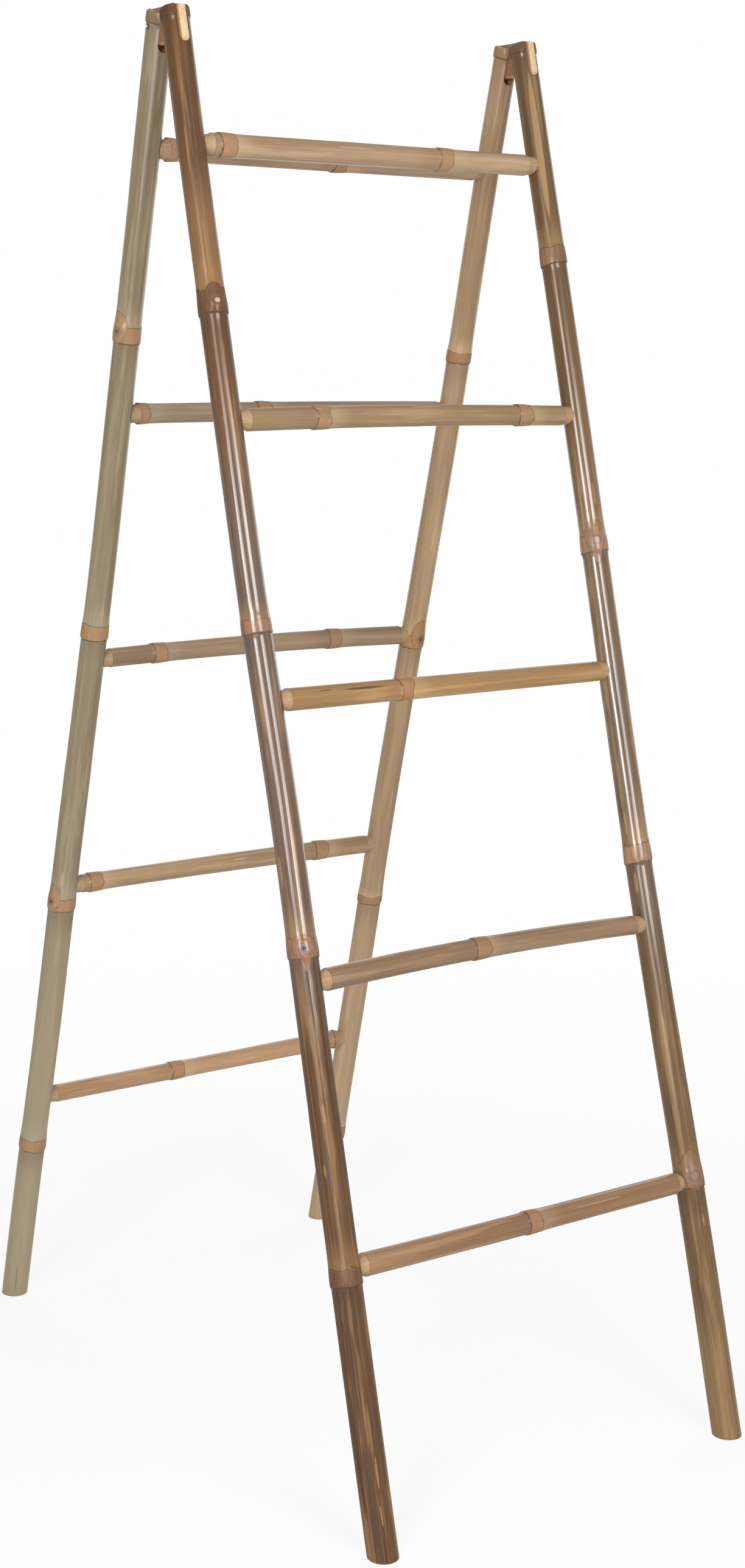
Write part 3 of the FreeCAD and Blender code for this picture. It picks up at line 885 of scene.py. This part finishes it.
def make_rung(frame_side, number, finish):
    facts = RUNGS[frame_side, number]
    along = RUNG_STEP * number
    ends = []
    for side in (LEFT, RIGHT):
        axis_point = pole_axes(frame_side, side) @ Vector((0, 0, along))
        ends.append(axis_point + Vector((crook_at(frame_side, side, along), 0, 0)))
    start, finish_point = ends
    length = finish_point.x - start.x
    left_radius, right_radius = (thick / 2 * MM for thick in facts["thick"])
    nodes = facts["nodes"]

    def skin_radius(at):
        return left_radius + (right_radius - left_radius) * at / length

    def whittled(bark_edge, way):
        """From the bark's edge down to the neck that goes into the pole."""
        step = skin_radius(bark_edge) - BARK_LIP - NECK_RADIUS
        return [(NECK_RADIUS + step * share, bark_edge + way * back * MM) for back, share in WHITTLE]

    left_tip, right_tip = RUNG_TIP_GAP, length - RUNG_TIP_GAP
    bark_left, bark_right = NECK_LEFT, length - NECK_RIGHT
    rings = ring_heights(bark_left + BARK_INSET, bark_right - BARK_INSET, nodes, facts["marks"])
    profile = [(0, left_tip), (NECK_RADIUS - TIP_INSET, left_tip), (NECK_RADIUS, left_tip + TIP_ROUNDING)]
    profile += reversed(whittled(bark_left, LEFT))
    profile += [(skin_radius(ring) + swell(nearest_node(nodes, ring)[1]), ring) for ring in rings]
    profile += whittled(bark_right, RIGHT)
    profile += [(NECK_RADIUS, right_tip - TIP_ROUNDING), (NECK_RADIUS - TIP_INSET, right_tip)]
    profile.append((0, right_tip))
    shape = spun(profile, RUNG_SIDES)
    shape_nodes(shape, nodes, left_radius)
    piece = to_object(shape, f"{FRAME_NAMES[frame_side]}_cane_{number}")
    keep_pattern(piece, facts, skin_radius)
    lay_bare(piece, lambda at: not bark_left < at.z < bark_right)
    lie = Matrix.Rotation(math.radians(90), 4, "Y")
    left_rise, middle_rise, right_rise = facts["rise"]
    bow = middle_rise - (left_rise + right_rise) / 2
    for vert in piece.data.vertices:
        share = vert.co.z / length
        rise = left_rise + (right_rise - left_rise) * share + bow * 4 * share * (1 - share)
        vert.co = lie @ vert.co + start.lerp(finish_point, share) - Vector((vert.co.z, 0, 0))
        vert.co.z += rise * MM
    return dress(piece, finish, frame_side, f"{FRAME_NAMES[frame_side]}_rung_{number}")


def make_tongue(side, finish):
    """A batten with a rounded lower side, its ends sawn to the slope of the poles."""
    shape = bmesh.new()
    height = TONGUE_ABOVE_PIN + TONGUE_BELOW_PIN
    width = TONGUE_LEFT + TONGUE_RIGHT
    uncut_length = 130 * MM
    size = Matrix.Diagonal((width, uncut_length, height, 1))
    middle = ((TONGUE_RIGHT - TONGUE_LEFT) / 2, 0, (TONGUE_ABOVE_PIN - TONGUE_BELOW_PIN) / 2)
    bmesh.ops.create_cube(shape, size=1, matrix=Matrix.Translation(middle) @ size)
    round_edges(shape, long_edges(shape, True), width * 0.47, 7)
    round_edges(shape, long_edges(shape, False), 0.9 * MM, 3)
    for way in (FRONT, REAR):
        outward = Vector((0, way * math.cos(LEAN), math.sin(LEAN)))
        face_point = Vector((0, way * (PIN_SETBACK + TONGUE_REACH), 0))
        cut = bmesh.ops.bisect_plane(
            shape, geom=shape.verts[:] + shape.edges[:] + shape.faces[:], dist=ON_PLANE,
            plane_co=face_point, plane_no=outward, clear_outer=True, clear_inner=False,
        )
        rim = [item for item in cut["geom_cut"] if isinstance(item, bmesh.types.BMEdge)]
        bmesh.ops.contextual_create(shape, geom=rim)
        round_edges(shape, [edge for edge in rim if edge.is_valid], 0.5 * MM, 2)
    weld(shape)
    piece = to_object(shape, f"{SIDE_NAMES[side]}_batten")
    mesh = piece.data
    batten = mesh.attributes.new("batten", "FLOAT_VECTOR", "POINT")
    for vert in mesh.vertices:
        batten.data[vert.index].vector = vert.co
        vert.co = vert.co + Vector((side * HINGE_HALF_WIDTH, 0, PIN_HEIGHT))
    smooth(mesh, 30)
    return dress(piece, finish, 0, f"{SIDE_NAMES[side]}_tongue")


def make_nail(frame_side, side, finish):
    """A nail through a pole's head and the tongue: a low domed head on the pole's skin, and a shank."""
    corner = corner_name(frame_side, side)
    low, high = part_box(f"{corner}_pin")
    middle = (low + high) / 2
    length = high.x - low.x
    brim = 1.9 * NAIL_RADIUS
    shank = [(0, 0), (NAIL_RADIUS * 0.8, 0), (NAIL_RADIUS, 0.4 * MM), (NAIL_RADIUS, length - 1.2 * MM)]
    head = [(brim, length - 1.0 * MM), (brim, length - 0.1 * MM), (brim * 0.86, length + 0.25 * MM)]
    head += [(brim * 0.6, length + 0.5 * MM), (brim * 0.3, length + 0.66 * MM), (0, length + 0.7 * MM)]
    shape = spun(shank + head, NAIL_SIDES)
    lie = Matrix.Rotation(side * math.radians(90), 4, "Y")
    tip = Vector((middle.x - side * length / 2, middle.y, middle.z))
    piece = to_object(shape, f"{corner}_nail")
    mesh = piece.data
    nail = mesh.attributes.new("nail", "FLOAT_VECTOR", "POINT")
    for vert in mesh.vertices:
        nail.data[vert.index].vector = (math.hypot(vert.co.x, vert.co.y), 0, vert.co.z)
        vert.co = tip + lie @ vert.co
    smooth(mesh, 40)
    return dress(piece, finish, frame_side, f"{corner}_pin")


# Poles: tones of the skin, its darker and paler parts, and the bands at its nodes
POLE_FINISHES = {
    (FRONT, LEFT): bamboo(
        "front_left_bamboo", tone(100, 64, 29), tone(68, 41, 15), tone(147, 109, 66),
        tone(162, 119, 92), seed=1.0, streaky=0.6, cracked=1.0, scarred=0.5, gloss=0.29, worn=0.65,
        pale_stretch=(1.285, 1.45, 0.48),
    ),
    (FRONT, RIGHT): bamboo(
        "front_right_bamboo", tone(107, 78, 43), tone(75, 50, 23), tone(155, 122, 79),
        tone(174, 135, 105), seed=2.0, streaky=0.55, cracked=0.5, scarred=0.5, gloss=0.25, worn=0.5,
        pale_stretch=(-0.05, 0.17, 0.4),
    ),
    (REAR, LEFT): bamboo(
        "rear_left_bamboo", tone(139, 124, 95), tone(120, 102, 74), tone(170, 154, 123),
        tone(176, 131, 92), seed=3.0, streaky=0.4, cracked=0.2, scarred=0.2, gloss=0.16, foot_painted_light=0.65,
    ),
    (REAR, RIGHT): bamboo(
        "rear_right_bamboo", tone(166, 138, 103), tone(141, 111, 80), tone(193, 165, 130),
        tone(166, 119, 78), seed=4.0, streaky=0.5, cracked=0.3, scarred=0.25, foot_painted_light=0.5,
    ),
}
# Rungs: tones of the skin and of its darker parts
RUNG_TONES = {
    (FRONT, 5): ((167, 140, 108), (140, 109, 80)),
    (FRONT, 4): ((159, 134, 98), (131, 103, 72)),
    (FRONT, 3): ((168, 134, 86), (135, 100, 60)),
    (FRONT, 2): ((145, 118, 89), (117, 90, 64)),
    (FRONT, 1): ((155, 121, 87), (122, 89, 60)),
    (REAR, 5): ((172, 144, 116), (143, 113, 85)),
    (REAR, 4): ((147, 128, 104), (121, 100, 77)),
    (REAR, 3): ((146, 121, 94), (119, 94, 69)),
    (REAR, 2): ((169, 139, 104), (138, 109, 78)),
    (REAR, 1): ((180, 144, 107), (150, 114, 80)),
}
RUNG_BAND = tone(170, 131, 98)
RUNG_PALER = 24
FIRST_RUNG_SEED = 10.0

for (frame_side, side), finish in POLE_FINISHES.items():
    make_pole(frame_side, side, finish)
for index, ((frame_side, number), (skin, deep)) in enumerate(RUNG_TONES.items()):
    pale = (channel + RUNG_PALER for channel in skin)
    cane_finish = bamboo(
        f"{FRAME_NAMES[frame_side]}_cane_{number}_bamboo", tone(*skin), tone(*deep), tone(*pale), RUNG_BAND,
        seed=FIRST_RUNG_SEED + index, streaky=0.4, scarred=0.3, cut=CUT_CREAM, cut_grain=CUT_GRAIN,
    )
    make_rung(frame_side, number, cane_finish)
batten_finish = batten_wood()
steel = nail_steel()
for side in (LEFT, RIGHT):
    make_tongue(side, batten_finish)
    for frame_side in (FRONT, REAR):
        make_nail(frame_side, side, steel)

# The studio: the viewpoint, the floor, the room and its lamps, in metres, degrees and watts
CAMERA_PLACE = (-1.4967, -2.1584, 1.1872)
CAMERA_HEADING, CAMERA_DIP, CAMERA_ROLL = -35.364, 10.321, 0.308
LENS_LENGTH, SENSOR_HEIGHT = 52.81, 36
FLOOR_HALF_WIDTH = 60
FLOOR_DROP = 0.4 * MM
FLOOR_GREY = (0.86, 0.86, 0.86)
FLOOR_WHITE_NEAR = 0.86
SHADOW_FADES = (0.6, 2.2)
ROOM_LIGHT = 0.23
WHITE = (1, 1, 1)


def seen_share(finish):
    """1 for what the camera, a mirror or glass looks at, 0 for light on its way to a surface."""
    rays = finish.tree.nodes.new("ShaderNodeLightPath").outputs
    seen = Shade(finish, rays["Is Camera Ray"]).larger(Shade(finish, rays["Is Glossy Ray"]))
    return seen.larger(Shade(finish, rays["Is Transmission Ray"]))


def lay_floor():
    """A wide pale floor that shows white to the camera but for the ladder's shadow."""
    shape = bmesh.new()
    bmesh.ops.create_grid(shape, x_segments=2, y_segments=2, size=FLOOR_HALF_WIDTH)
    bmesh.ops.translate(shape, vec=(0, 0, -FLOOR_DROP), verts=shape.verts[:])
    floor = to_object(shape, "studio_floor")
    paint = new_finish("pale_floor")
    place = paint.add("ShaderNodeTexCoord", output="Object")
    reach = paint.add("ShaderNodeVectorMath", {"operation": "LENGTH"}, {0: place}, output="Value")
    lit = paint.add("ShaderNodeBsdfDiffuse", {}, {"Color": FLOOR_GREY})
    white = paint.add("ShaderNodeEmission", {}, {"Color": WHITE, "Strength": 1.0})
    whiteness = FLOOR_WHITE_NEAR + (1 - FLOOR_WHITE_NEAR) * reach.rise(*SHADOW_FADES)
    share = seen_share(paint) * whiteness
    mixed = paint.add("ShaderNodeMixShader", {}, {0: share, 1: lit, 2: white})
    paint.add("ShaderNodeOutputMaterial", {}, {"Surface": mixed})
    floor.data.materials.append(paint.owner)


def light_room():
    """A plain white room: even light, seen as white."""
    world = bpy.data.worlds.new("studio")
    bpy.context.scene.world = world
    room = Finish(world)
    strength = ROOM_LIGHT + (1 - ROOM_LIGHT) * seen_share(room)
    background = room.add("ShaderNodeBackground", {}, {"Color": WHITE, "Strength": strength})
    room.add("ShaderNodeOutputWorld", {}, {"Surface": background})


def hang_lamp(name, turn, distance, height, width, tall, power, target=(0, 0, 0.8)):
    """A soft box that faces its target, at a turn from the viewpoint."""
    lamp = bpy.data.lights.new(name, "AREA")
    lamp.shape = "RECTANGLE"
    lamp.size = width
    lamp.size_y = tall
    lamp.energy = power
    angle = VIEW_TURN + math.radians(turn)
    place = Vector((math.cos(angle) * distance, math.sin(angle) * distance, height))
    holder = bpy.data.objects.new(name, lamp)
    holder.location = place
    holder.rotation_euler = (Vector(target) - place).to_track_quat("-Z", "Y").to_euler()
    bpy.context.scene.collection.objects.link(holder)


def set_camera():
    """The photograph's viewpoint."""
    lens_data = bpy.data.cameras.new("viewpoint")
    lens_data.sensor_fit = "VERTICAL"
    lens_data.sensor_height = SENSOR_HEIGHT
    lens_data.lens = LENS_LENGTH
    camera = bpy.data.objects.new("viewpoint", lens_data)
    heading = Matrix.Rotation(math.radians(CAMERA_HEADING), 4, "Z")
    dip = Matrix.Rotation(math.radians(90 - CAMERA_DIP), 4, "X")
    roll = Matrix.Rotation(math.radians(CAMERA_ROLL), 4, "Z")
    camera.matrix_world = Matrix.Translation(CAMERA_PLACE) @ heading @ dip @ roll
    bpy.context.scene.collection.objects.link(camera)
    bpy.context.scene.camera = camera


lay_floor()
light_room()
hang_lamp("left_strip", turn=-18, distance=2.6, height=1.65, width=0.8, tall=1.3, power=37)
hang_lamp("right_strip", turn=31, distance=2.6, height=1.65, width=1.0, tall=1.3, power=37)
hang_lamp("side_fill", turn=148, distance=3.0, height=1.4, width=2.4, tall=2.2, power=36)
hang_lamp("back_fill", turn=-162, distance=3.0, height=1.4, width=2.4, tall=2.2, power=38)
hang_lamp(
    "low_fill", turn=-6, distance=2.8, height=0.64, width=1.2, tall=0.55, power=6, target=(0, 0.2, 0.6)
)
hang_lamp("overhead", turn=10, distance=1.2, height=3.2, width=2.4, tall=2.4, power=8)
set_camera()
bpy.context.scene.view_settings.view_transform = "Standard"
